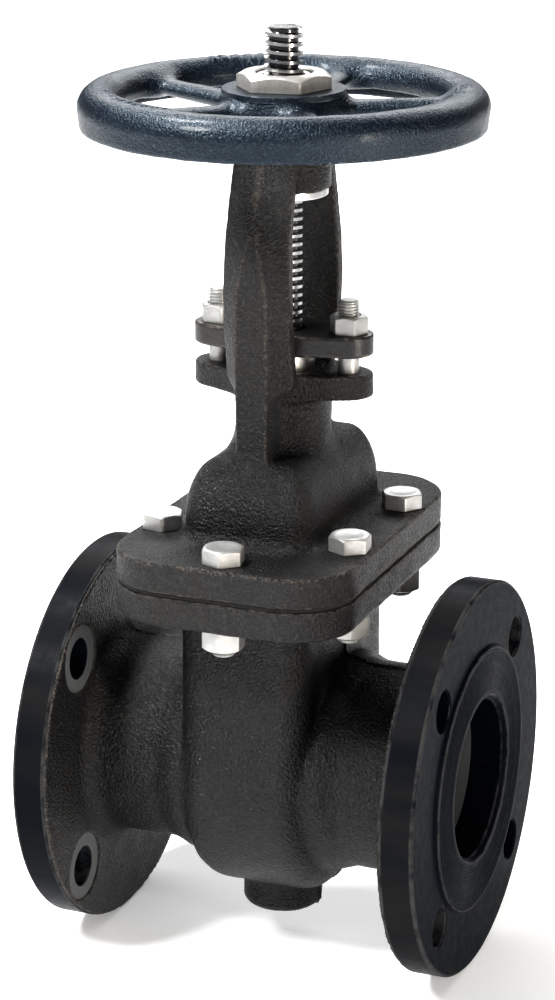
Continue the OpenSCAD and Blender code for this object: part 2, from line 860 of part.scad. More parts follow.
// Space between the two sloped planes that the facing rings stand out of
module slope_core() {
    low = wedge_half_t - facing_proud - wedge_r * tan(wedge_angle);
    high = wedge_half_t - facing_proud + wedge_r * tan(wedge_angle);
    rotate([90, 0, 0])
        translate([0, 0, -wedge_r])
            linear_extrude(2 * wedge_r)
                polygon([[-low, -wedge_r], [low, -wedge_r], [high, wedge_r], [-high, wedge_r]]);
}

module facing_shape(h) {
    difference() {
        cylinder(r = seat_r, h = h);
        translate([0, 0, -over]) cylinder(r = seat_bore_r, h = h + 2 * over);
    }
}

module facing_ring(side) {
    color(bronze)
    on_base()
        on_slope(side, -facing_t) facing_shape(facing_t);
}

module wedge_ring_inlet() {
    facing_ring(-1);
}

module wedge_ring_outlet() {
    facing_ring(1);
}

body();
inlet_seat_ring();
outlet_seat_ring();
body_gasket();
bonnet();
bonnet_bolts();
bonnet_nuts();
backseat_bushing();
packing_ring_1();
packing_ring_2();
packing_ring_3();
packing_ring_4();
packing_ring_5();
gland_studs();
gland_bushing();
gland_flange();
gland_nuts();
yoke_sleeve();
handwheel();
handwheel_key();
handwheel_nut();
stem();
wedge();
wedge_ring_inlet();
wedge_ring_outlet();
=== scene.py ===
import json
import math
import bpy
import bmesh
import numpy as np
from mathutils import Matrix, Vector


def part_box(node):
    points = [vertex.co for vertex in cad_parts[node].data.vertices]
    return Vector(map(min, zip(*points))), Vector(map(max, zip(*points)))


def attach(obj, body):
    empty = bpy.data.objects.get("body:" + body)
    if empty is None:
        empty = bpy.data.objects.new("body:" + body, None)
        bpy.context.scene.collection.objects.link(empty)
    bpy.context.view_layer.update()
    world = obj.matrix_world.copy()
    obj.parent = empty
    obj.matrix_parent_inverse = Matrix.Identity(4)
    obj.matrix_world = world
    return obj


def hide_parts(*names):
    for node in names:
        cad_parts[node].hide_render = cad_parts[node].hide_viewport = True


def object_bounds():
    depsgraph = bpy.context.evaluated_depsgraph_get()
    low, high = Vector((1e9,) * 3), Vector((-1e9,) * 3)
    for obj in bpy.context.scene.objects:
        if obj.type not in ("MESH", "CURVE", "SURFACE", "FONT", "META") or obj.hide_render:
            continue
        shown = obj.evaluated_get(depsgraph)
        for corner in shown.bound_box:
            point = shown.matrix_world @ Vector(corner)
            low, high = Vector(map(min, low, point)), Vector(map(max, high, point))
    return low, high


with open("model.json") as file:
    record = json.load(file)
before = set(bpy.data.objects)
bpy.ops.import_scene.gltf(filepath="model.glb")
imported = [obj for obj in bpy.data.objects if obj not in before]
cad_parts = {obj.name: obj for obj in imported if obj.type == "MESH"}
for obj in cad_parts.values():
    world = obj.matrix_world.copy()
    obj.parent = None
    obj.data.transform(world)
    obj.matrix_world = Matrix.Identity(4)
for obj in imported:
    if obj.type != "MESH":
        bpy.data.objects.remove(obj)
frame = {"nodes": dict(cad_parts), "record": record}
cad_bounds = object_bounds()

# Shapes are in millimetres, with heights measured from the pipe's axis. The camera, the lamps and
# the materials are in metres.
MM = 0.001
mounts = {m["name"]: m for m in frame["record"]["mounts"]}
PIPE_Z = mounts["outlet_port"]["pos_m"][2] / MM


def box(node):
    lo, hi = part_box(node)
    up = Vector((0, 0, PIPE_Z))
    return lo / MM - up, hi / MM - up


# ---------------------------------------------------------------- sizes from the frame
body_hi = box("body")[1]
FACE_X, FLANGE_R = body_hi.x, body_hi.y
RAISED_H, RAISED_R, FLANGE_T, SPOT_R = 1.6, 63.5, 19.05, 16.5
RIM_X = FACE_X - RAISED_H
BACK_X = FACE_X - FLANGE_T
PORT_R = mounts["outlet_port"]["dims"]["r_mm"]
HOLE_R = mounts["outlet_flange_bolts"]["dims"]["hole_r_mm"]
PCD_R = mounts["outlet_flange_bolts"]["dims"]["pcd_mm"] / 2
JOINT_Z = box("body_gasket")[0].z
o_lo, o_hi = box("bonnet")
BONNET_Z, JX, JY, YOKE_TOP = o_lo.z, o_hi.x, o_hi.y, o_hi.z
BOLT_TOP, BOLT_LOW = box("bonnet_bolts")[1].z, box("bonnet_bolts")[0].z
HEAD_AF, HEAD_H, NUT_H, BOLT_R, BOLT_HOLE_R = 18, 7.5, 10.4, 6, 6.75
PLATE_Z = BOLT_TOP - HEAD_H
BODY_PLATE_T, CORNER = 15, 31.0
NECK_R, SEAT_NECK_R, SHELL_X, SHELL_Y = 50.1, 53.5, 32.04, 59.0
BOLT_X, BOLT_Y = JX - 11.3, JY - 13.5
BOLTS = [(-BOLT_X, -BOLT_Y * 0.48), (0, -BOLT_Y), (BOLT_X, -BOLT_Y * 0.48),
    (BOLT_X, BOLT_Y * 0.48), (0, BOLT_Y), (-BOLT_X, BOLT_Y * 0.48)]
CHAMBER_X, CHAMBER_Y = SHELL_X - 8, SHELL_Y - 8
DOME_Z = PLATE_Z + 38.3
BOX_R, BOX_Z = 15.0, DOME_Z + 2
g_lo, g_hi = box("gland_flange")
EAR_END_R, EAR_T, GLAND_GAP = 11.6, 11.4, 8.7
STUD_X = g_hi.x - EAR_END_R
EAR_TOP = g_lo.z - GLAND_GAP
EAR_Z = EAR_TOP - EAR_T
LEG_MID_Z = g_hi.z + 22
s_lo, s_hi = box("yoke_sleeve")
HUB_Z = s_lo.z + 3.65
w_hi = box("handwheel")[1]
WHEEL_H, RIM_UP, RIM_HALF_W, RIM_DOWN_OUT, RIM_DOWN_IN = 24.6, 9.8, 10, 9.8, 3.43
WHEEL_R, WHEEL_Z, WHEEL_TOP = w_hi.x, w_hi.z - WHEEL_H, box("handwheel_nut")[0].z
RIM_MID_Z = w_hi.z - RIM_UP
RIM_MID_R = WHEEL_R - RIM_HALF_W


# ---------------------------------------------------------------- camera, floor, lights
low, high = (Vector(p) for p in cad_bounds)
middle = (low + high) / 2
turn, tilt = math.radians(21.876), math.radians(17.63)
forward = Vector((-math.sin(turn) * math.cos(tilt), math.cos(turn) * math.cos(tilt),
    -math.sin(tilt)))
camera_data = bpy.data.cameras.new("camera")
camera_data.sensor_width = 36
camera_data.lens = 107.03
camera_data.clip_end = 100
camera = bpy.data.objects.new("camera", camera_data)
bpy.context.scene.collection.objects.link(camera)
camera.location = middle + Vector((0.49928, -1.25126, 0.42683))
camera.rotation_euler = forward.to_track_quat("-Z", "Y").to_euler()
bpy.context.scene.camera = camera
bpy.context.scene.view_settings.view_transform = "Standard"
bpy.context.scene.view_settings.look = "High Contrast"


def lamp(name, place, aim, size, power, colour=(1, 1, 1)):
    data = bpy.data.lights.new(name, "AREA")
    data.shape = "RECTANGLE"
    data.size, data.size_y = size
    data.energy = power
    data.color = colour
    o = bpy.data.objects.new(name, data)
    bpy.context.scene.collection.objects.link(o)
    o.location = place
    o.rotation_euler = (Vector(aim) - Vector(place)).to_track_quat("-Z", "Y").to_euler()


lamp("key", (-0.78, -1.08, 1.6), (0, 0, 0.2), (0.3, 0.4), 34, (1.0, 0.99, 0.97))
lamp("side", (1.5, -0.62, 0.45), (0, 0, 0.2), (0.12, 0.9), 15, (1.0, 0.92, 0.83))
lamp("top", (-0.75, 0.0, 1.8), (0, 0, 0.15), (0.35, 0.35), 26)
lamp("far", (-1.0, 3.4, 2.2), (-0.9, 2.8, 0), (4.0, 2.4), 110)
lamp("near", (0.6, -1.9, 2.4), (0.3, -0.9, 0), (1.0, 0.6), 6)

world = bpy.data.worlds.new("studio")
bpy.context.scene.world = world
world.use_nodes = True
world.node_tree.nodes["Background"].inputs["Color"].default_value = (0.97, 0.98, 1.0, 1)
world.node_tree.nodes["Background"].inputs["Strength"].default_value = 0.10


# ---------------------------------------------------------------- node helpers
class Nodes:
    """A material's node tree with short calls for the nodes that the finishes use."""

    def __init__(self, name):
        self.material = bpy.data.materials.new(name)
        self.material.use_nodes = True
        self.tree = self.material.node_tree
        self.shader = self.tree.nodes["Principled BSDF"]
        self.place = self.add("ShaderNodeTexCoord").outputs["Object"]

    def add(self, kind, inputs=None, **settings):
        node = self.tree.nodes.new(kind)
        for k, v in settings.items():
            setattr(node, k, v)
        for k, v in (inputs or {}).items():
            self.put(node.inputs[k], v)
        return node

    def put(self, socket, value):
        if isinstance(value, bpy.types.NodeSocket):
            self.tree.links.new(value, socket)
        else:
            socket.default_value = value

    def math(self, what, a, b=0.0, c=0.0, clamp=False):
        n = self.add("ShaderNodeMath", operation=what, use_clamp=clamp)
        for i, v in enumerate((a, b, c)):
            self.put(n.inputs[i], v)
        return n.outputs[0]

    def noise(self, scale, detail=2.0, rough=0.5, at=None, stretch=None, distortion=0.0):
        at = self.place if at is None else at
        if stretch:
            at = self.add("ShaderNodeMapping", {"Vector": at, "Scale": stretch}).outputs[0]
        return self.add("ShaderNodeTexNoise", {"Vector": at, "Scale": scale, "Detail": detail,
            "Roughness": rough, "Distortion": distortion}).outputs[0]

    def ramp(self, value, lo, hi, a=0.0, b=1.0):
        return self.add("ShaderNodeMapRange", {"Value": value, "From Min": lo, "From Max": hi,
            "To Min": a, "To Max": b}, interpolation_type="SMOOTHSTEP").outputs[0]

    def mix(self, share, a, b):
        n = self.add("ShaderNodeMix", data_type="RGBA", blend_type="MIX")
        for i, v in ((0, share), (6, a), (7, b)):
            self.put(n.inputs[i], (*v, 1) if isinstance(v, tuple) else v)
        return n.outputs[2]

    def bump(self, height, depth, strength=1.0, under=None):
        inputs = {"Height": height, "Distance": depth, "Strength": strength}
        if under is not None:
            inputs["Normal"] = under
        return self.add("ShaderNodeBump", inputs).outputs[0]

    def radial(self, axis):
        """Distance from the axis, and distance along it."""
        split = self.add("ShaderNodeSeparateXYZ", {"Vector": self.place}).outputs
        z = self.math("SUBTRACT", split["Z"], PIPE_Z * MM if axis == "X" else 0.0)
        a, b, along = (split["Y"], z, split["X"]) if axis == "X" else (split["X"], split["Y"], z)
        squares = self.math("ADD", self.math("MULTIPLY", a, a), self.math("MULTIPLY", b, b))
        r = self.math("SQRT", squares)
        return r, along

    def rings(self, axis, scale):
        """Fine lathe marks round the axis."""
        r, along = self.radial(axis)
        at = self.add("ShaderNodeCombineXYZ", {"X": r, "Y": along}).outputs[0]
        return self.noise(scale, 3, 0.6, at=at)

    def wear(self):
        return self.add("ShaderNodeAttribute", attribute_name="wear").outputs["Fac"]

    def finish(self, colour, rough, normal=None, **uniform):
        s = self.shader.inputs
        self.put(s["Base Color"], colour)
        self.put(s["Roughness"], rough)
        if normal is not None:
            self.put(s["Normal"], normal)
        for k, v in uniform.items():
            s[k.replace("_", " ")].default_value = v
        return self.material


def cast_paint():
    n = Nodes("cast_paint")
    pebble = n.noise(760, 2.4, 0.62, distortion=0.25)
    grit = n.noise(2600, 1.5, 0.5)
    broad = n.noise(42, 3, 0.55)
    tone = n.noise(11, 4, 0.6)
    colour = n.mix(n.ramp(tone, 0.38, 0.64), (0.0065, 0.007, 0.0085), (0.0125, 0.0115, 0.011))
    # painted highlight on the pebble tops and painted shade in the pebble hollows, following the same noise as
    # the bump
    colour = n.mix(n.ramp(pebble, 0.5, 0.72), colour, (0.026, 0.025, 0.025))
    colour = n.mix(n.ramp(pebble, 0.48, 0.34), colour, (0.002, 0.002, 0.003))
    edge = n.math("MULTIPLY", n.ramp(n.wear(), 0.5, 1.1, 0.0, 0.75),
        n.ramp(n.noise(420, 3, 0.7), 0.4, 0.7), clamp=True)
    colour = n.mix(edge, colour, (0.110, 0.092, 0.076))
    rough = n.math("ADD", n.ramp(tone, 0.3, 0.7, 0.28, 0.37), n.ramp(pebble, 0.4, 0.7, 0.10, -0.05))
    normal = n.bump(broad, 0.0011)
    normal = n.bump(pebble, 0.0017, 1.0, normal)
    normal = n.bump(grit, 0.00014, 0.8, normal)
    return n.finish(colour, rough, normal, Specular_IOR_Level=0.5)


def machined_black():
    n = Nodes("machined_black")
    marks = n.rings("X", 2400)
    tone = n.noise(9, 3, 0.55)
    scuff = n.noise(180, 4, 0.65)
    colour = n.mix(n.ramp(tone, 0.35, 0.66), (0.0035, 0.0055, 0.0095), (0.006, 0.008, 0.012))
    colour = n.mix(n.ramp(scuff, 0.6, 0.78, 0.0, 0.5), colour, (0.020, 0.020, 0.023))
    r, along = n.radial("X")
    across = n.math("ABSOLUTE", along)
    # painted reflection: the outer band of the flange rim is made lighter, varying round the circumference, as
    # a soft grey sheen
    rim = n.mix(n.ramp(n.noise(26, 3, 0.6, stretch=(0.2, 1, 1)), 0.35, 0.65),
        (0.010, 0.012, 0.016), (0.021, 0.021, 0.022))
    colour = n.mix(n.ramp(r, (FLANGE_R - 1.0) * MM, (FLANGE_R - 0.5) * MM), colour, rim)
    colour = n.mix(n.ramp(across, (BACK_X + 1.3) * MM, (BACK_X + 1.1) * MM), colour, (0.11, 0.115, 0.12))
    edge = n.math("MULTIPLY", n.wear(), n.ramp(n.noise(90, 4, 0.7), 0.33, 0.6), clamp=True)
    colour = n.mix(n.math("MULTIPLY", edge, 0.4), colour, (0.12, 0.12, 0.12))
    rough = n.math("ADD", n.ramp(scuff, 0.3, 0.7, 0.30, 0.40), n.ramp(marks, 0.35, 0.65, -0.03, 0.05))
    normal = n.bump(marks, 0.00004, 0.9)
    normal = n.bump(n.noise(30, 2, 0.5), 0.0004, 0.5, normal)
    return n.finish(colour, rough, normal, Specular_IOR_Level=0.02)


def enamel():
    n = Nodes("wheel_enamel")
    peel = n.noise(900, 2.2, 0.55, distortion=0.4)
    grit = n.noise(2600, 1.5, 0.5)
    broad = n.noise(55, 3, 0.55)
    tone = n.noise(16, 4, 0.6)
    colour = n.mix(n.ramp(tone, 0.36, 0.66), (0.0034, 0.0068, 0.0125), (0.0068, 0.0125, 0.021))
    # painted highlight on the peel tops and painted shade in the peel hollows, following the same noise as the
    # bump
    colour = n.mix(n.ramp(peel, 0.52, 0.72), colour, (0.024, 0.036, 0.052))
    colour = n.mix(n.ramp(peel, 0.44, 0.3), colour, (0.003, 0.005, 0.009))
    edge = n.math("MULTIPLY", n.ramp(n.wear(), 0.6, 1.0), n.ramp(n.noise(300, 3, 0.7), 0.5, 0.68),
        clamp=True)
    colour = n.mix(n.math("MULTIPLY", edge, 0.5), colour, (0.22, 0.25, 0.28))
    rough = n.ramp(tone, 0.3, 0.7, 0.30, 0.38)
    normal = n.bump(broad, 0.0009)
    normal = n.bump(peel, 0.0006, 1.0, normal)
    normal = n.bump(grit, 0.00006, 0.8, normal)
    return n.finish(colour, rough, normal, Specular_Tint=(0.72, 0.87, 1.0, 1), Coat_Weight=0.12,
        Coat_Roughness=0.2)


def metal(name, light, dark, rough, axis=None, marks=1500, depth=0.00003, stain=None, stretch=None,
        roots=None, metallic=1.0):
    """Turned or brushed metal; roots is the radius and the top of a thread whose roots are darkened with
    painted shade.
    """
    n = Nodes(name)
    tone = n.noise(70, 4, 0.65)
    fine = n.rings(axis, marks) if axis else n.noise(marks, 3, 0.6, stretch=stretch)
    colour = n.mix(n.ramp(tone, 0.32, 0.68), light, dark)
    colour = n.mix(n.ramp(fine, 0.42, 0.25, 0.0, 0.5), colour, tuple(c * 0.55 for c in dark))
    if stain:
        colour = n.mix(n.ramp(n.noise(240, 5, 0.7), 0.58, 0.75, 0.0, 0.75), colour, stain)
    # painted shade: the thread roots below the tip are darkened
    if roots:
        r, along = n.radial(axis)
        painted_root_shade = n.math("MULTIPLY", n.ramp(r, roots[0], roots[0] - 0.0008),
            n.ramp(along, roots[1] + 0.0003, roots[1]))
        colour = n.mix(painted_root_shade, colour, tuple(c * 0.25 for c in dark))
    roughness = n.math("ADD", n.ramp(tone, 0.3, 0.7, rough, rough + 0.1), n.ramp(fine, 0.3, 0.7, 0.05, -0.04))
    normal = n.bump(fine, depth, 0.9)
    normal = n.bump(n.noise(420, 2, 0.5), depth * 2.5, 0.6, normal)
    return n.finish(colour, roughness, normal, Metallic=metallic)


def fibre(name, light, dark, rough, scale):
    n = Nodes(name)
    weave = n.noise(scale, 3, 0.6, stretch=(1, 1, 0.35))
    colour = n.mix(n.ramp(weave, 0.35, 0.65), dark, light)
    return n.finish(colour, n.ramp(weave, 0.3, 0.7, rough, rough + 0.15), n.bump(weave, 0.0002, 0.8))


def gland_paint():
    n = Nodes("gland_paint")
    peel = n.noise(500, 2, 0.5)
    tone = n.noise(25, 3, 0.6)
    colour = n.mix(n.ramp(tone, 0.35, 0.65), (0.022, 0.022, 0.024), (0.034, 0.032, 0.031))
    edge = n.math("MULTIPLY", n.ramp(n.wear(), 0.4, 1.0), n.ramp(n.noise(260, 3, 0.7), 0.45, 0.65), clamp=True)
    colour = n.mix(edge, colour, (0.13, 0.11, 0.09))
    return n.finish(colour, n.ramp(peel, 0.3, 0.7, 0.30, 0.42), n.bump(peel, 0.00025, 0.9),
        Specular_IOR_Level=0.5)


def wedge_iron():
    n = Nodes("wedge_iron")
    pebble = n.noise(700, 3, 0.6)
    tone = n.noise(30, 3, 0.6)
    colour = n.mix(n.ramp(tone, 0.35, 0.65), (0.045, 0.043, 0.041), (0.085, 0.072, 0.060))
    return n.finish(n.mix(n.ramp(pebble, 0.3, 0.7), (0.03, 0.03, 0.03), colour),
        n.ramp(pebble, 0.3, 0.7, 0.5, 0.65), n.bump(pebble, 0.0004, 0.9))


CAST = cast_paint()
MACHINED = machined_black()
ENAMEL = enamel()
ZINC = metal("zinc", (0.50, 0.50, 0.495), (0.38, 0.38, 0.375), 0.36, None, 900, 0.00006, (0.32, 0.31, 0.30),
    metallic=0.6)
STEM = metal("stem_steel", (0.62, 0.62, 0.62), (0.40, 0.40, 0.40), 0.18, "Z", 1400, 0.00002,
    roots=(0.0077, (box("stem")[1].z + PIPE_Z - 0.6) * MM))
TURNED = metal("turned_steel", (0.58, 0.58, 0.57), (0.42, 0.42, 0.41), 0.27, "Z", 1800, 0.00003)
BRUSHED = metal("brushed_steel", (0.54, 0.53, 0.51), (0.38, 0.37, 0.355), 0.42, None, 1500, 0.00009,
    (0.24, 0.22, 0.20), (1, 1, 0.12), metallic=0.65)
BRONZE = metal("bronze", (0.60, 0.44, 0.22), (0.46, 0.33, 0.17), 0.28, "Z", 1500, 0.00003)
SEAT_BRONZE = metal("seat_bronze", (0.60, 0.44, 0.22), (0.46, 0.33, 0.17), 0.25, "X", 1500, 0.00003)
PACKING = fibre("graphite_packing", (0.075, 0.075, 0.078), (0.022, 0.022, 0.024), 0.5, 900)
GASKET = fibre("gasket_sheet", (0.020, 0.020, 0.021), (0.006, 0.006, 0.006), 0.75, 1500)
GLAND = gland_paint()
WEDGE = wedge_iron()


def floor_finish():
    n = Nodes("floor_finish")
    tone = n.noise(3, 3, 0.5)
    return n.finish(n.mix(n.ramp(tone, 0.3, 0.7), (0.90, 0.90, 0.90), (0.93, 0.93, 0.93)),
        n.ramp(tone, 0.3, 0.7, 0.55, 0.6), Specular_IOR_Level=0.1, Emission_Color=(1, 1, 1, 1),
        Emission_Strength=0.24)


# ---------------------------------------------------------------- mesh helpers
def piece(name, verts, faces, material, body, nodes=(), smooth=35, wear=None):
    """A mesh object from millimetre points, riding on a body and standing for CAD nodes."""
    v = np.array(verts, float).reshape(-1, 3)
    v = (v + np.array([0, 0, PIPE_Z])) * MM
    mesh = bpy.data.meshes.new(name)
    mesh.from_pydata(v.tolist(), [], faces)
    if wear is not None:
        worn = mesh.attributes.new("wear", "FLOAT", "POINT")
        worn.data.foreach_set("value", np.asarray(wear, np.float32))
    mesh.materials.append(material)
    o = bpy.data.objects.new(name, mesh)
    bpy.context.scene.collection.objects.link(o)
    finish_mesh(o, smooth)
    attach(o, body)
    if nodes:
        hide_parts(*nodes)
    return o


def finish_mesh(o, smooth):
    bm = bmesh.new()
    bm.from_mesh(o.data)
    bmesh.ops.remove_doubles(bm, verts=bm.verts, dist=2e-6)
    bmesh.ops.recalc_face_normals(bm, faces=bm.faces)
    limit = math.radians(smooth)
    for f in bm.faces:
        f.smooth = True
    for e in bm.edges:
        e.smooth = not (len(e.link_faces) == 2 and e.calc_face_angle() > limit)
    bm.to_mesh(o.data)
    bm.free()


class Parts:
    """Collects several pieces of mesh into one object."""

    def __init__(self):
        self.v, self.f, self.w, self.n = [], [], [], 0

    def add(self, part, move=(0, 0, 0), turn=0.0, flip=False):
        v, f, w = part
        v = np.array(v, float)
        if flip:
            v = v * np.array([1, -1, -1])
        c, s = math.cos(math.radians(turn)), math.sin(math.radians(turn))
        v = v @ np.array([[c, s, 0], [-s, c, 0], [0, 0, 1]]) + np.array(move)
        self.v.append(v)
        self.f += [[i + self.n for i in q] for q in f]
        self.w.append(np.zeros(len(v)) if w is None else w)
        self.n += len(v)
        return self

    def make(self, name, material, body, nodes=(), slot=None, smooth=35):
        return piece(name, np.concatenate(self.v), self.f, material, body, nodes, smooth,
            np.concatenate(self.w))


def soften(points, e, closed=True, steps=3):
    """Rounds the corners of a profile; returns its points and how near each is to a convex corner."""
    p = [np.array(q, float) for q in points]
    area = sum(a[0] * b[1] - b[0] * a[1] for a, b in zip(p, p[1:] + p[:1]))
    out, edge = [], []
    n = len(p)
    for i in range(n):
        a, b, c = p[i - 1], p[i], p[(i + 1) % n]
        u, v = a - b, c - b
        lu, lv = np.linalg.norm(u), np.linalg.norm(v)
        if lu < 1e-6 or lv < 1e-6:
            continue
        u, v = u / lu, v / lv
        bend = math.acos(max(-1, min(1, -float(u @ v))))
        if bend < math.radians(20) or min(b[0], 99) < 1e-6:
            out.append(b)
            edge.append(0.0)
            continue
        d = min(e, lu * 0.4, lv * 0.4)
        convex = ((-u[0]) * v[1] - (-u[1]) * v[0]) * area > 0
        for k in range(steps + 1):
            t = k / steps
            out.append((1 - t) ** 2 * (b + u * d) + 2 * t * (1 - t) * b + t * t * (b + v * d))
            edge.append(1.0 if convex else 0.0)
    return out, edge


def near_edges(p, edge, reach=0.5):
    """Adds points beside each corner, so that wear stays close to it."""
    out, worn = [], []
    for i in range(len(p)):
        a, b = p[i], p[(i + 1) % len(p)]
        out.append(a)
        worn.append(edge[i])
        length = np.linalg.norm(b - a)
        if length > 3 * reach:
            out += [a + (b - a) * reach / length, b - (b - a) * reach / length]
            worn += [0.0, 0.0]
    return out, worn


def turned(points, n=96, e=0.4, axis="Z"):
    """A lathe shape from a closed profile of (radius, height)."""
    p, edge = soften(points, e)
    p, edge = near_edges(p, edge)
    a = 2 * np.pi * np.arange(n) / n
    r = np.array([q[0] for q in p])
    z = np.array([q[1] for q in p])
    x = r[:, None] * np.cos(a)[None]
    y = r[:, None] * np.sin(a)[None]
    zz = np.repeat(z[:, None], n, 1)
    v = np.stack([x, y, zz], -1) if axis == "Z" else np.stack([zz, x, y], -1)
    m = len(p)
    faces = []
    for i in range(m):
        j = (i + 1) % m
        if r[i] < 1e-6 and r[j] < 1e-6:
            continue
        for k in range(n):
            l = (k + 1) % n
            q = [i * n + k, i * n + l, j * n + l, j * n + k]
            if r[i] < 1e-6:
                q = [i * n, j * n + l, j * n + k]
            elif r[j] < 1e-6:
                q = [i * n + k, i * n + l, j * n]
            faces.append(q)
    return v.reshape(-1, 3), faces, np.repeat(edge, n)


def hexagon(af, h, hole=0.0, both=False, n=120, dish=0.0, chamfer=0.475):
    """Hexagon with its corners slightly rounded and turned to a cone at the top."""
    a = 2 * np.pi * np.arange(n) / n
    flats = np.maximum(np.cos(a[:, None] - np.pi / 3 * np.arange(6)[None]), 1e-9) / (af / 2)
    rh = (flats ** 46).sum(1) ** (-1 / 46)
    rc = af * chamfer
    slope = math.tan(math.radians(30))
    top = h - np.maximum(rh - rc, 0) * slope
    low = np.maximum(rh - rc, 0) * slope if both else np.zeros(n)
    full = np.ones(n)
    rows, wear = [], []

    def ring(r, z, w=0.0):
        rows.append(np.stack([r * np.cos(a), r * np.sin(a), z * full], 1))
        wear.append(np.full(n, w))

    inner = max(hole, 0.01)
    if hole:
        ring(inner * full, 0.5)
        ring(inner * full, h - 0.6)
        ring((inner + 0.6) * full, h, 1)
    else:
        ring(inner * full, h - dish)
        ring(rc * 0.62 * full, h - dish)
        ring(rc * 0.70 * full, h)
    ring((rc - 0.25) * full, h)
    ring((rc + 0.1) * full, h - 0.06, 0.7)
    ring(rh - 0.2, top + 0.1, 0.3)
    ring(rh - 0.03, top - 0.08, 0.8)
    ring(rh, top - 0.35)
    ring(rh, low + 0.25)
    ring(rh - 0.2, low, 0.5)
    if both:
        ring(rc * full, 0 * full)
    ring((inner + (0.5 if hole else 0)) * full, 0 * full)
    v = np.concatenate(rows)
    m = len(rows)
    faces = []
    for i in range(m if hole else m - 1):
        j = (i + 1) % m
        for k in range(n):
            l = (k + 1) % n
            faces.append([i * n + k, j * n + k, j * n + l, i * n + l])
    if not hole:
        faces += [list(range(n)), list(range((m - 1) * n, m * n))[::-1]]
    return v, faces, np.concatenate(wear)


def screw(r, pitch, z0, z1, depth, hand=1, tip=1.0, foot=0.0, crest=0.36, n=64, runout=1.0):
    """A threaded rod from z0 to z1 with a chamfered tip, cut off flat at both ends."""
    flank = (1 - 2 * crest) / 2
    profile = [(0.0, 0.0), (crest * 0.5, 0.0), (crest, 0.0), (crest + flank * 0.18, 0.12),
        (crest + flank * 0.82, 0.92), (crest + flank, 1.0), (crest * 1.5 + flank, 1.0),
        (2 * crest + flank, 1.0), (2 * crest + flank * 1.18, 0.92), (2 * crest + flank * 1.82, 0.12)]
    m = len(profile)
    turns = int(math.ceil((z1 - z0) / pitch)) + 3
    a = 2 * np.pi * np.arange(n + 1) / n
    u = np.array([i + p[0] for i in range(-1, turns) for p in profile])
    d = np.array([p[1] for _ in range(-1, turns) for p in profile])
    right = hand > 0
    z = z0 - pitch + pitch * (u[:, None] + (1 if right else -1) * a[None] / (2 * np.pi)
        + (0 if right else 1))
    cut = depth * d[:, None] * np.clip((z - z0) / (runout * pitch), 0, 1)
    rr = r - cut
    if tip:
        rr = np.minimum(rr, r - tip + np.maximum(z1 - z, 0))
    if foot:
        rr = np.minimum(rr, r - foot + np.maximum(z - z0, 0))
    v = np.stack([rr * np.cos(a), rr * np.sin(a), z], -1).reshape(-1, 3)
    k = n + 1
    faces = [[i * k + j, i * k + j + 1, (i + 1) * k + j + 1, (i + 1) * k + j]
        for i in range(len(u) - 1) for j in range(n)]
    bm = bmesh.new()
    vs = [bm.verts.new(q) for q in v]
    for f in faces:
        bm.faces.new([vs[i] for i in f])
    bmesh.ops.remove_doubles(bm, verts=bm.verts, dist=1e-4)
    for co, no in (((0, 0, z0), (0, 0, -1)), ((0, 0, z1), (0, 0, 1))):
        got = bmesh.ops.bisect_plane(bm, geom=bm.verts[:] + bm.edges[:] + bm.faces[:], dist=1e-5,
            plane_co=co, plane_no=no, clear_outer=True)
        rim = [e for e in got["geom_cut"] if isinstance(e, bmesh.types.BMEdge)]
        bmesh.ops.edgeloop_fill(bm, edges=rim)
    bmesh.ops.recalc_face_normals(bm, faces=bm.faces)
    bm.verts.index_update()
    out = [tuple(q.co) for q in bm.verts], [[q.index for q in f.verts] for f in bm.faces], None
    bm.free()
    return out


# ---------------------------------------------------------------- shapes from distance fields
def join(a, b, r):
    """Both shapes as one, with a fillet of radius r between them."""
    u, v = np.maximum(r - a, 0), np.maximum(r - b, 0)
    return np.maximum(r, np.minimum(a, b)) - np.sqrt(u * u + v * v)


def both(a, b, r=0.0):
    """What the two shapes share, with its edge rounded to radius r."""
    if not r:
        return np.maximum(a, b)
    u, v = np.maximum(r + a, 0), np.maximum(r + b, 0)
    return np.minimum(-r, np.maximum(a, b)) + np.sqrt(u * u + v * v)


def rect(x, y, hx, hy, r):
    u, v = np.abs(x) - (hx - r), np.abs(y) - (hy - r)
    return np.hypot(np.maximum(u, 0), np.maximum(v, 0)) + np.minimum(np.maximum(u, v), 0) - r


def slab(z, z0, z1):
    return np.abs(z - (z0 + z1) / 2) - (z1 - z0) / 2


def eared(x, y, r1, r2, h):
    """Outline round a middle circle and two end circles."""
    px, py = np.abs(y), np.abs(x)
    b = (r1 - r2) / h
    a = math.sqrt(1 - b * b)
    k = -b * px + a * py
    side = a * px + b * py - r1
    end = np.where(k > a * h, np.hypot(px, py - h) - r2, side)
    return np.where(k < 0, np.hypot(px, py) - r1, end)


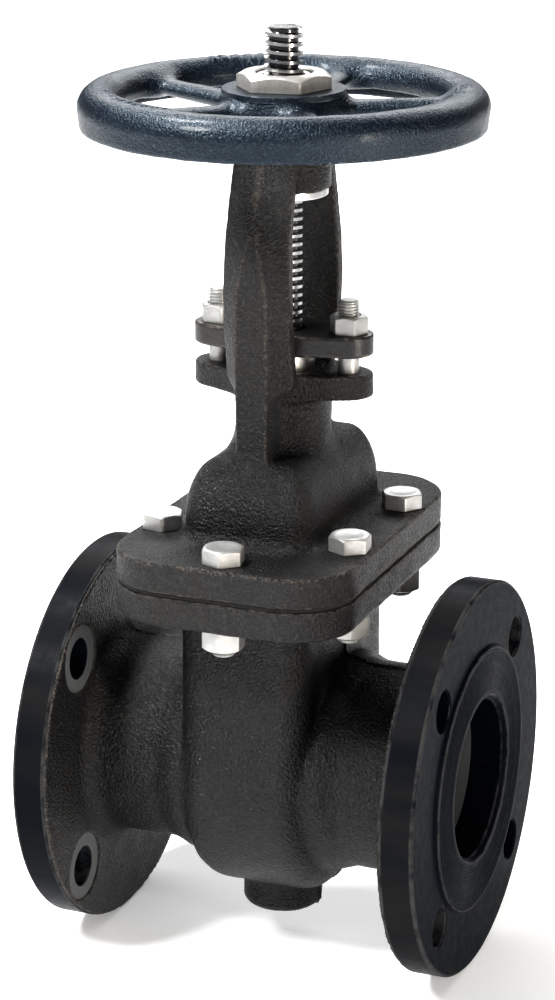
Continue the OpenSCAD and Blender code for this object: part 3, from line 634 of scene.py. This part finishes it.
def field_mesh(f, lo, hi, h, uneven=0.0, seed=0.0):
    """Surface of the field's zero level as quads, with each point moved onto it."""
    n = [int(math.ceil((b - a) / h)) + 1 for a, b in zip(lo, hi)]
    ax = [lo[i] + h * np.arange(n[i], dtype=np.float32) for i in range(3)]
    values = f(ax[0][:, None, None], ax[1][None, :, None], ax[2][None, None, :])
    F = np.ascontiguousarray(np.broadcast_to(values, n), dtype=np.float32)
    S = F < 0
    C = np.zeros([k - 1 for k in n], np.uint8)
    corners = [(i, j, k) for i in (0, 1) for j in (0, 1) for k in (0, 1)]
    for i, j, k in corners:
        C += S[i:n[0] - 1 + i, j:n[1] - 1 + j, k:n[2] - 1 + k]
    cells = np.argwhere((C > 0) & (C < 8))
    index = np.full(C.shape, -1, np.int64)
    index[tuple(cells.T)] = np.arange(len(cells))
    P, W = np.zeros((len(cells), 3)), np.zeros(len(cells))
    value = {c: F[tuple((cells + c).T)] for c in corners}
    for a in corners:
        for axis in range(3):
            if a[axis]:
                continue
            b = tuple(1 if q == axis else a[q] for q in range(3))
            fa, fb = value[a], value[b]
            crossing = (fa < 0) != (fb < 0)
            t = np.where(crossing, fa / np.where(crossing, fa - fb, 1), 0)
            pos = np.array(a, float)[None] + t[:, None] * (np.array(b, float) - np.array(a, float))[None]
            P[crossing] += pos[crossing]
            W[crossing] += 1
    P = (P / W[:, None] + cells) * h + np.array(lo)
    quads = []
    for axis in range(3):
        o1, o2 = (axis + 1) % 3, (axis + 2) % 3
        s = [slice(None)] * 3
        t = [slice(None)] * 3
        s[axis], t[axis] = slice(0, -1), slice(1, None)
        A, B = S[tuple(s)], S[tuple(t)]
        e = np.argwhere(A != B)
        e = e[(e[:, o1] > 0) & (e[:, o2] > 0) & (e[:, o1] < n[o1] - 1) & (e[:, o2] < n[o2] - 1)]
        inside = A[tuple(e.T)]
        around = []
        for d1, d2 in ((1, 1), (0, 1), (0, 0), (1, 0)):
            c = e.copy()
            c[:, o1] -= d1
            c[:, o2] -= d2
            around.append(index[tuple(c.T)])
        q = np.stack(around, 1)
        quads.append(np.where(inside[:, None], q, q[:, ::-1]))
    quads = np.concatenate(quads)

    def at(p):
        return np.asarray(f(p[:, 0], p[:, 1], p[:, 2]), float)

    def slope(p, d):
        return np.stack([at(p + np.eye(3)[i] * d) - at(p - np.eye(3)[i] * d) for i in range(3)], 1) / (2 * d)

    for _ in range(3):
        g = slope(P, 0.05)
        step = -at(P)[:, None] * g / np.maximum((g * g).sum(1), 0.05)[:, None]
        size = np.linalg.norm(step, axis=1)
        P = P + step * np.minimum(1, 0.5 * h / np.maximum(size, 1e-9))[:, None]
    d = 1.1
    g = slope(P, 0.4)
    g /= np.maximum(np.linalg.norm(g, axis=1), 1e-6)[:, None]
    bend = sum(at(P + np.eye(3)[i] * d) + at(P - np.eye(3)[i] * d) for i in range(3)) - 6 * at(P)
    wear = np.clip(bend / d / d / 0.55, 0, 1)
    if uneven:
        wave = sum(np.sin(P @ np.array(k) + p + seed) for k, p in (
            ((0.23, 0.11, 0.17), 0.3), ((-0.13, 0.29, 0.09), 1.7), ((0.07, -0.19, 0.31), 2.9),
            ((0.41, 0.23, -0.27), 4.1), ((-0.37, 0.33, 0.43), 5.3)))
        P = P + g * (uneven * wave / 3)[:, None]
    return P, quads.tolist(), wear


# ---------------------------------------------------------------- body
def spot_faces(y, z):
    """Distance to the four round pockets behind each flange."""
    k = PCD_R / math.sqrt(2)
    return np.hypot(np.abs(y) - k, np.abs(z) - k) - SPOT_R


def body_field(x, y, z):
    X, R = np.abs(x), np.hypot(y, z)
    w = np.where(z > -7, np.abs(y), np.hypot(y, z + 7))
    u, v = X - (SHELL_X - 14), w - (SHELL_Y - 14)
    shell = np.hypot(np.maximum(u, 0), np.maximum(v, 0)) + np.minimum(np.maximum(u, v), 0) - 14
    shell = both(shell, z - JOINT_Z)
    flare = NECK_R + (SEAT_NECK_R - NECK_R) * np.clip((SHELL_X + 14 - X) / 9, 0, 1)
    neck = both(R - flare, X - BACK_X - 2)
    disc = both(R - FLANGE_R + 0.7, np.abs(X - BACK_X - 1) - 1, 0.6)
    f = join(shell, neck, 2.2)
    boss = both(np.hypot(x, y) - 19.3, np.maximum(z + 50, -79 - z), 3.0)
    f = join(f, boss, 3.5)
    flash = both(np.abs(y) - 0.55, both(f - 1.0, np.maximum(z - 88, X - BACK_X)), 0.3)
    f = join(f, flash, 0.7)
    f = join(f, disc, 9)
    f = both(f, X - BACK_X - 2)
    outline = rect(x, y, JX, JY, CORNER)
    plate = both(both(outline, JOINT_Z - BODY_PLATE_T - z, 3.0), z - JOINT_Z, 0.9)
    f = join(f, plate, 5)
    f = both(f, z - JOINT_Z, 0.6)
    f = both(f, -both(spot_faces(y, z), BACK_X - 12 - X, 1.0), 0.8)
    inner = both(rect(x, y, CHAMBER_X, CHAMBER_Y, 6), -(z + 7))
    bowl = both(np.hypot(y, z + 7) - CHAMBER_Y, X - CHAMBER_X, 6)
    f = both(f, -np.minimum(inner, bowl), 0.8)
    f = both(f, -(R - PORT_R - 0.6), 0.5)
    k = np.minimum.reduce([np.hypot(x - px, y - py) for px, py in BOLTS]) - BOLT_HOLE_R
    return both(f, -both(k, JOINT_Z - 17 - z), 0.6)


def with_guides(x, y, z):
    rib = both(both(np.abs(x) - 4, 39.3 - np.abs(y)), np.maximum(z - 101, -25 - z), 1.2)
    return join(body_field(x, y, z), both(rib, np.abs(y) - CHAMBER_Y - 2), 1.5)


v, f, w = field_mesh(with_guides, (-BACK_X - 4, -FLANGE_R - 2, -FLANGE_R - 2),
    (BACK_X + 4, FLANGE_R + 2, JOINT_Z + 2), 1.3, 0.16)
piece("body_casting", v, f, CAST, "valve", ("body",), 60, w)


def end_flange(side):
    """Machined end flange: rim, face, raised face with serrations, bore and drilled holes."""
    serrations = []
    r = RAISED_R - 2.2
    while r > PORT_R + 5.5:
        serrations += [(r, FACE_X), (r - 0.35, FACE_X - 0.22), (r - 0.7, FACE_X)]
        r -= 1.15
    profile = [(PORT_R, SHELL_X + 5), (PORT_R + 2.5, SHELL_X + 5), (PORT_R + 2.5, BACK_X + 1.0),
        (FLANGE_R - 0.9, BACK_X + 1.0), (FLANGE_R, BACK_X + 1.9), (FLANGE_R, RIM_X - 1),
        (FLANGE_R - 1, RIM_X), (RAISED_R + RAISED_H, RIM_X), (RAISED_R, FACE_X)]
    profile += serrations + [(PORT_R + 2.4, FACE_X), (PORT_R, FACE_X - 2.4)]
    v, faces, wear = turned(profile, 192, 0.35, "X")
    wear = np.asarray(wear, float)
    out = np.hypot(v[:, 1], v[:, 2])
    wear[(out < 62) & (out > PORT_R + 5) & (v[:, 0] > RIM_X)] = 0
    if side < 0:
        v = v * np.array([-1, 1, 1])
    name = "outlet_flange" if side > 0 else "inlet_flange"
    o = piece(name, v, faces, MACHINED, "valve", (), 28, wear)
    cutters = Parts()
    for i in range(4):
        a = math.radians(45 + 90 * i)
        y, z = PCD_R * math.cos(a), PCD_R * math.sin(a)
        q = turned([(0, BACK_X - 4), (HOLE_R + 5.7, BACK_X - 4), (HOLE_R, BACK_X + 1.7),
            (HOLE_R, RIM_X - 0.9), (HOLE_R + 5, RIM_X + 4.1), (0, RIM_X + 4.1)], 48, 0.0001, "X")
        cutters.add((q[0] * np.array([side, 1, 1]), q[1], None), (0, y, z))
    tool = cutters.make("cutter", MACHINED, "valve")
    m = o.modifiers.new("drill", "BOOLEAN")
    m.operation, m.solver, m.object = "DIFFERENCE", "EXACT", tool
    bpy.context.view_layer.update()
    got = bpy.data.meshes.new_from_object(o.evaluated_get(bpy.context.evaluated_depsgraph_get()))
    o.modifiers.clear()
    o.data = got
    bpy.data.objects.remove(tool)
    finish_mesh(o, 28)
    return o


end_flange(1)
end_flange(-1)


# ---------------------------------------------------------------- bonnet
def leg_out(z):
    """How far out the leg's flange begins and its outer face lies, at each height."""
    up = np.clip((z - LEG_MID_Z) / (HUB_Z - LEG_MID_Z), 0, None)
    down = np.clip((LEG_MID_Z - z) / (LEG_MID_Z - EAR_Z), 0, None)
    return STUD_X + 2 - 5.5 * up ** 2 - 9 * down ** 2, STUD_X + 8.5 - 6.5 * up ** 2


def bonnet_field(x, y, z):
    R, Y, X = np.hypot(x, y), np.abs(y), np.abs(x)
    outline = rect(x, y, JX, JY, CORNER)
    plate = both(both(outline, BONNET_Z - z, 0.9), z - PLATE_Z, 2.0)
    wall = rect(x, y, SHELL_X + 0.5, SHELL_Y - 6.5, 14)
    inset, rise = 17.3, 29.0
    u, v = np.maximum(wall + inset, 0) / inset, np.maximum(z - DOME_Z + rise, 0) / rise
    dome = both((np.hypot(u, v) - 1) * inset, PLATE_Z - 2 - z)
    f = join(plate, dome, 6.5)
    neck = both(R - 22.7, np.maximum(DOME_Z - 6 - z, z - EAR_TOP))
    f = join(f, neck, 6)
    ears = both(eared(x, y, 25, EAR_END_R, STUD_X), slab(z, EAR_Z, EAR_TOP), 1.6)
    f = join(f, ears, 4.5)
    outer, face = leg_out(z)
    wide = 16.3 - 1.8 * np.clip(z - LEG_MID_Z, 0, None) / (YOKE_TOP - LEG_MID_Z)
    wide = wide - 8.9 * np.clip((EAR_TOP + 1 - z) / 11, 0, 1) ** 2
    flat = np.maximum(1.0, 7.6 - np.maximum(z - LEG_MID_Z, 0) * 0.2)
    length = np.hypot(face - outer, wide - flat)
    slope = ((X - wide) * (face - outer) + (Y - outer) * (wide - flat)) / length
    leg = both(both(both(X - wide, outer - 5.8 - Y, 1.0), slope, 0.5), Y - face, 0.5)
    leg = both(leg, np.maximum(EAR_Z + 1 - z, z - YOKE_TOP + 0.05))
    rib = both(X - 7.6, np.maximum(18.7 - Y, Y - STUD_X - 8.5), 0.6)
    rib = both(rib, np.maximum(DOME_Z - 13 - z, z - EAR_TOP), 0.6)
    hub = both(R - 22.05, slab(z, HUB_Z, YOKE_TOP), 0.8)
    f = join(f, np.minimum(rib, join(leg, hub, 5)), 3.5)
    cavity = both(rect(x, y, SHELL_X - 7.5, SHELL_Y - 14, 6), z - PLATE_Z - 20)
    upper = both(rect(x, y, SHELL_X - 11.5, SHELL_Y - 21, 6), z - DOME_Z + 7)
    f = both(f, -np.minimum(cavity, upper), 1)
    f = both(f, -both(R - BOX_R, BOX_Z - z), 0.7)
    f = both(f, -both(R - 13.5, z - BOX_Z - 1))
    f = both(f, -both(R - 21, np.maximum(EAR_TOP - z, z - g_hi.z - 7.2)))
    f = both(f, -both(R - 16.1, HUB_Z - 2 - z), 0.8)
    k = np.minimum.reduce([np.hypot(x - px, y - py) for px, py in BOLTS]) - BOLT_HOLE_R
    f = both(f, -both(k, z - PLATE_Z - 4), 0.6)
    s = np.hypot(X - STUD_X, y) - 5
    return both(f, -both(s, EAR_Z + 0.5 - z), 0.5)


v, f, w = field_mesh(bonnet_field, (-JX - 2, -JY - 2, BONNET_Z - 2), (JX + 2, JY + 2, YOKE_TOP + 2),
    1.15, 0.14, 2.0)
piece("bonnet_casting", v, f, CAST, "valve", ("bonnet",), 60, w)


# ---------------------------------------------------------------- handwheel
WHEEL_BORE_R, HUB_FACE_R = 15.06, 28.5


def wheel_field(x, y, z):
    R, h = np.hypot(x, y), z - RIM_MID_Z
    u = R - RIM_MID_R
    taper = np.where(u > 0, RIM_HALF_W - 1.2 * np.clip(-h / RIM_DOWN_OUT, 0, 1),
        RIM_HALF_W - 0.8 * np.clip(-h / 3.4, 0, 1))
    arch = np.where(h > 0, (np.hypot(u / RIM_HALF_W, h / RIM_UP) - 1) * 9.9, np.abs(u) - taper)
    rim = both(arch, np.where(u > 0, -RIM_DOWN_OUT, -RIM_DOWN_IN) - h, 1.3)
    around = np.degrees(np.arctan2(y, x)) % 360
    for centre, half in ((235, 19), (12, 7), (128, 9)):
        off = np.abs(around - centre)
        bar = both(np.abs((around % 4.2) - 2.1) * 1.45 - 1.9,
            np.abs(u + 2.6) - 3.2 - 0.9 * np.sin(around * 1.7), 0.5)
        bar = both(both(bar, (off - half) * 1.45, 0.4), both(arch - 0.7, -h), 0.2)
        rim = join(rim, bar, 0.4)
    hollow = np.where(h > 0, (np.hypot(u / 5.4, h / 5.2) - 1) * 5.3, np.abs(u) - 5.4)
    hub = both(R - 27.5, np.maximum(WHEEL_Z - z, z - WHEEL_TOP + 1.5), 1.6)
    spokes = None
    for i in range(5):
        a = math.radians(18 + 72 * i)
        s, t = x * math.cos(a) + y * math.sin(a), -x * math.sin(a) + y * math.cos(a)
        k = np.clip((s - 23) / (RIM_MID_R - 30), 0, 1)
        hy = 8 - 2.2 * np.sin(np.pi / 2 * k) + 1.5 * (2 * k - 1) ** 4
        hz = 4.6 - k
        g = (np.hypot(t / hy, (h - 1 + 3 * (1 - k)) / hz) - 1) * np.minimum(hy, hz)
        g = both(g, np.maximum(20 - s, s - RIM_MID_R + 5))
        spokes = g if spokes is None else np.minimum(spokes, g)
    f = join(join(hub, spokes, 7), rim, 6.5)
    f = both(f, -both(hollow, np.where(np.abs(u) < 7, -99.0, 99.0)), 1.0)
    return both(f, -(R - WHEEL_BORE_R), 0.5)


v, f, w = field_mesh(wheel_field, (-WHEEL_R - 2, -WHEEL_R - 2, WHEEL_Z - 6),
    (WHEEL_R + 2, WHEEL_R + 2, w_hi.z + 2), 1.05, 0.10, 4.0)
piece("handwheel_casting", v, f, ENAMEL, "wheel", ("handwheel",), 60, w)
disc = turned([(WHEEL_BORE_R, WHEEL_TOP - 3), (HUB_FACE_R, WHEEL_TOP - 3), (HUB_FACE_R, WHEEL_TOP),
    (WHEEL_BORE_R, WHEEL_TOP)], 144, 0.45)
Parts().add(disc).make("handwheel_hub_face", ENAMEL, "wheel", (), "wheel_enamel", 40)

# ---------------------------------------------------------------- wheel nut, sleeve
n_lo, n_hi = box("handwheel_nut")
nut = Parts().add(hexagon(39, n_hi.z - n_lo.z, 13.06, n=180), (0, 0, n_lo.z), 40)
nut.make("wheel_nut", BRUSHED, "wheel", ("handwheel_nut",), "nut_steel", 25)

sleeve = turned([(9.06, s_lo.z), (20.65, s_lo.z), (20.65, s_lo.z + 3.6), (16.05, s_lo.z + 3.6),
    (16.05, WHEEL_Z), (15.05, WHEEL_Z), (15.05, WHEEL_TOP), (12.2, WHEEL_TOP), (12.2, s_hi.z),
    (9.9, s_hi.z), (9.06, s_hi.z - 1.2)], 128, 0.5)
Parts().add(sleeve).make("yoke_sleeve_turned", TURNED, "wheel", ("yoke_sleeve",), "nut_steel", 30)

# ---------------------------------------------------------------- stem
t_lo, t_hi = box("stem")
STEM_R, STEM_PITCH, COLLAR_R, COLLAR_Z = 9.0, 4.0, 13, 58.5
stem = Parts().add(screw(STEM_R, STEM_PITCH, g_hi.z - 1, t_hi.z, 2.2, -1, 1.6, n=72, runout=0.6))
stem.add(turned([(0, t_lo.z + 7), (STEM_R, t_lo.z + 7), (STEM_R, COLLAR_Z), (COLLAR_R, COLLAR_Z),
    (COLLAR_R, COLLAR_Z + 3), (10.5, COLLAR_Z + 5), (STEM_R, COLLAR_Z + 5), (STEM_R, g_hi.z - 0.9),
    (0, g_hi.z - 0.9)], 96, 0.4))
bar = turned([(0, t_lo.z), (13.5, t_lo.z), (13.5, t_lo.z + 8), (0, t_lo.z + 8)], 64, 0.6)
bar = (np.clip(bar[0], [-11, -13, -999], [11, 13, 999]), bar[1], bar[2])
stem.add(bar)
stem.make("stem_turned", STEM, "gate", ("stem",), "stem_steel", 32)

# ---------------------------------------------------------------- fasteners
HEAD_TURNS, NUT_TURNS = [20, 12, 5, 28, 40, 50], [33, 6, 25, 18, 50, 10]
bolts, nuts = Parts(), Parts()
for (x, y), a, c in zip(BOLTS, HEAD_TURNS, NUT_TURNS):
    bolts.add(hexagon(HEAD_AF, HEAD_H, dish=0.25), (x, y, PLATE_Z), a)
    bolts.add(turned([(0, BOLT_LOW + 20), (BOLT_R, BOLT_LOW + 20), (BOLT_R, PLATE_Z + 0.2),
        (0, PLATE_Z + 0.2)], 32, 0.2), (x, y, 0))
    bolts.add(screw(BOLT_R, 1.75, BOLT_LOW, BOLT_LOW + 20.1, 1.0, 1, 0.0, 1.2, n=40, crest=0.2,
        runout=0.01), (x, y, 0), 70 * a)
    nuts.add(hexagon(HEAD_AF, NUT_H, 6.0), (x, y, JOINT_Z - BODY_PLATE_T), c, flip=True)
bolts.make("bonnet_bolt_set", ZINC, "valve", ("bonnet_bolts",), "zinc", 25)
nuts.make("bonnet_nut_set", ZINC, "valve", ("bonnet_nuts",), "zinc", 25)

d_lo, d_hi = box("gland_studs")
studs, gnuts = Parts(), Parts()
for side, a in ((1, 37), (-1, 28)):
    x = side * STUD_X
    studs.add(turned([(0, d_lo.z), (5, d_lo.z), (5, g_hi.z + 1), (0, g_hi.z + 1)], 48, 0.3),
        (x, 0, 0))
    studs.add(screw(4.95, 1.5, g_hi.z - 1, d_hi.z, 0.85, 1, 1.1, n=48, crest=0.22), (x, 0, 0), 40 * side)
    gnuts.add(hexagon(16, 8.4, 5.05), (x, 0, g_hi.z), a)
studs.make("gland_stud_pair", ZINC, "valve", ("gland_studs",), "zinc", 28)
gnuts.make("gland_nut_pair", ZINC, "gland", ("gland_nuts",), "zinc", 25)


# ---------------------------------------------------------------- gland
def gland_field(x, y, z):
    f = both(eared(x, y, 20, EAR_END_R, STUD_X), slab(z, g_lo.z, g_hi.z), 1.1)
    f = both(f, -(np.hypot(x, y) - 10.5), 0.8)
    f = both(f, -both(np.hypot(x, y) - 17.45, z - g_lo.z - 3))
    return both(f, -(np.hypot(np.abs(x) - STUD_X, y) - 5.75), 0.6)


v, f, w = field_mesh(gland_field, (-STUD_X - 14, -23, g_lo.z - 2), (STUD_X + 14, 23, g_hi.z + 2),
    0.75, 0.05, 1.0)
piece("gland_plate", v, f, GLAND, "gland", ("gland_flange",), 60, w)
k_lo, k_hi = box("gland_bushing")
tube = turned([(9.05, k_lo.z), (14.95, k_lo.z), (14.95, g_lo.z), (17.45, g_lo.z), (17.45, k_hi.z),
    (9.05, k_hi.z)], 96, 0.35)
Parts().add(tube).make("gland_tube", TURNED, "gland", ("gland_bushing",), "nut_steel", 30)

# ---------------------------------------------------------------- CAD nodes that stay
KEPT = {"inlet_seat_ring": SEAT_BRONZE, "outlet_seat_ring": SEAT_BRONZE,
    "wedge_ring_inlet": SEAT_BRONZE, "wedge_ring_outlet": SEAT_BRONZE, "body_gasket": GASKET,
    "backseat_bushing": BRONZE, "handwheel_key": BRUSHED, "wedge": WEDGE,
    **{f"packing_ring_{i}": PACKING for i in range(1, 6)}}
for node, material in KEPT.items():
    o = frame["nodes"][node]
    o.data.materials.clear()
    o.data.materials.append(material)

# ---------------------------------------------------------------- floor
bpy.ops.mesh.primitive_circle_add(vertices=96, radius=12, fill_type="NGON",
    location=(0, 0, low.z - 0.0002))
floor = bpy.context.object
floor.name = "floor"
floor.data.materials.append(floor_finish())
